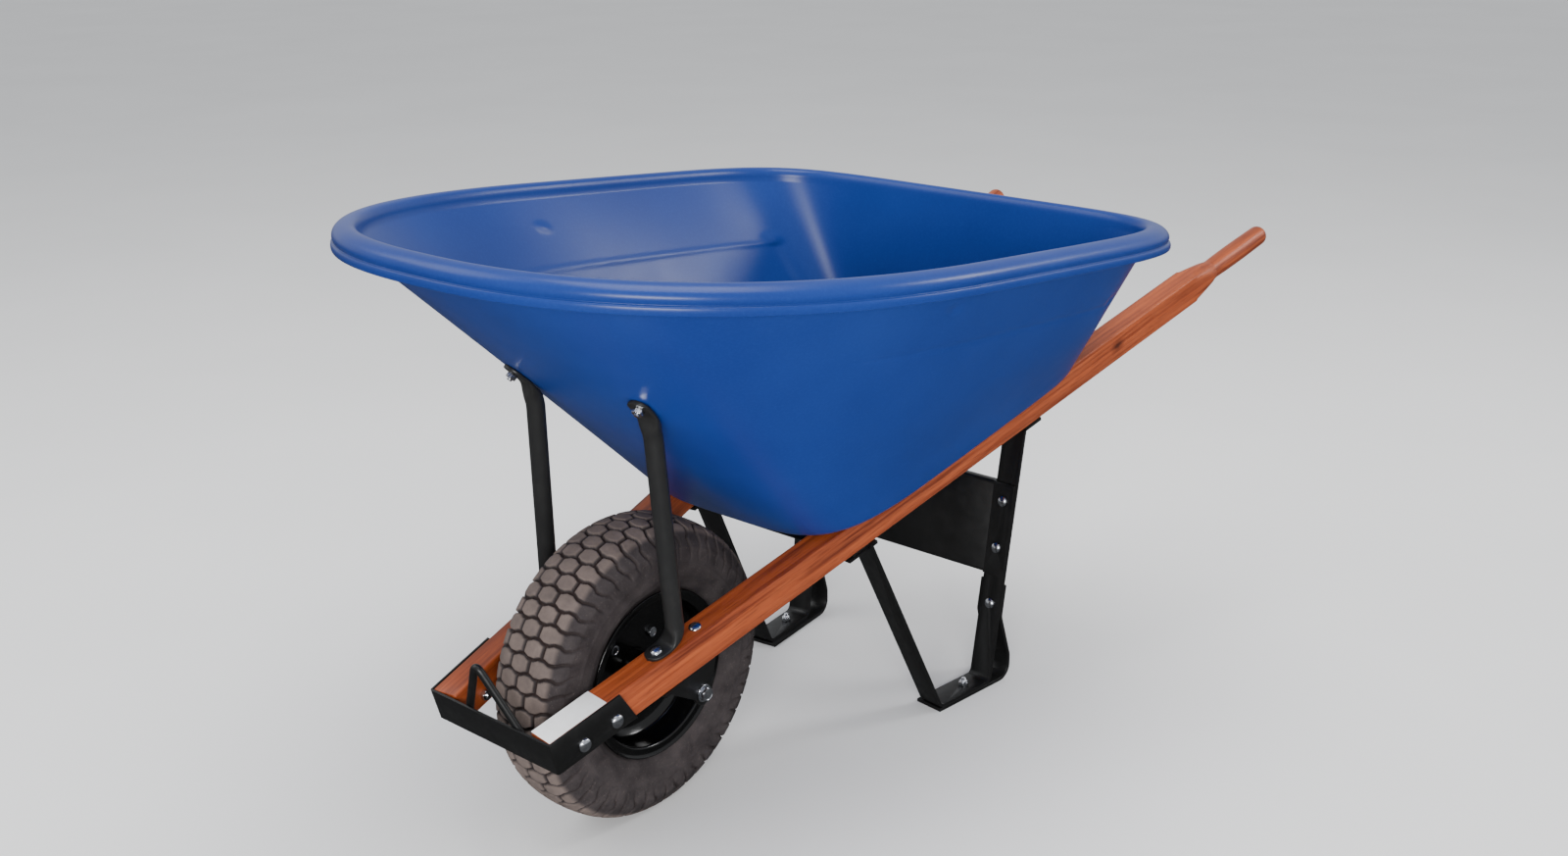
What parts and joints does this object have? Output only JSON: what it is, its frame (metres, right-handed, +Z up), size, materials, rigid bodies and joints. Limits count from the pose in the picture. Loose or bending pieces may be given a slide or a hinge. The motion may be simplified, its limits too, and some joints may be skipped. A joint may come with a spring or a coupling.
{
  "type": "wheelbarrow",
  "caption": "Contractor's wheelbarrow with a deep flared tray, timber handles, bent strap legs, nose guard and a pneumatic front wheel.",
  "frame": {"origin": "on the floor under the middle of the whole object's length and width", "axes": "+Z up, +Y back along the handles towards the grips, nose at -Y, +X to the left as the user pushes"},
  "size_m": [0.816, 1.5306, 0.7993],
  "materials": {
    "tray_plastic": "smooth moulded polyethylene, mid-blue, soft sheen",
    "handle_timber": "red-brown hardwood under satin varnish",
    "label": "plain white film",
    "steel_paint": "black paint, semi-gloss",
    "rim_paint": "black gloss enamel on pressed steel",
    "zinc": "bright zinc plate",
    "bright_steel": "turned steel",
    "tyre": "moulded rubber, dusty tread",
    "rubber": "butyl rubber",
    "cap_plastic": "black plastic"
  },
  "bodies": {
    "chassis": {"tray": "tray_plastic", "left_handle": "handle_timber", "right_handle": "handle_timber", "handle_label": "label", "nose_guard": "steel_paint", "tip_bar": "steel_paint", "left_tray_brace": "steel_paint", "right_tray_brace": "steel_paint", "left_axle_bracket": "steel_paint", "right_axle_bracket": "steel_paint", "axle": "bright_steel", "left_axle_spacer": "bright_steel", "right_axle_spacer": "bright_steel", "axle_end_bolts": "zinc", "axle_end_washers": "zinc", "left_leg": "steel_paint", "right_leg": "steel_paint", "left_leg_shoe": "steel_paint", "right_leg_shoe": "steel_paint", "leg_cross_plate": "steel_paint", "front_cross_strap": "steel_paint", "guard_bolts": "zinc", "guard_nuts": "zinc", "brace_foot_bolts": "zinc", "brace_foot_nuts": "zinc", "bracket_bolts": "zinc", "bracket_nuts": "zinc", "brace_top_bolts": "zinc", "brace_top_nuts": "zinc", "tray_bolts": "zinc", "tray_bolt_washers": "zinc", "tray_bolt_nuts": "zinc", "plate_bolts": "zinc", "plate_nuts": "zinc", "shoe_bolts": "zinc", "shoe_nuts": "zinc"},
    "wheel": {"tyre": "tyre", "inner_tube": "rubber", "left_rim_half": "rim_paint", "right_rim_half": "rim_paint", "rim_bolts": "zinc", "rim_nuts": "zinc", "hub_tube": "rim_paint", "left_bearing": "bright_steel", "right_bearing": "bright_steel", "valve_stem": "rubber", "valve_cap": "cap_plastic"}
  },
  "joints": [
    {"name": "wheel_spin", "type": "hinge", "parent": "chassis", "child": "wheel", "pos_m": [0, -0.4763, 0.201], "axis": [1, 0, 0], "continuous": true}
  ]
}
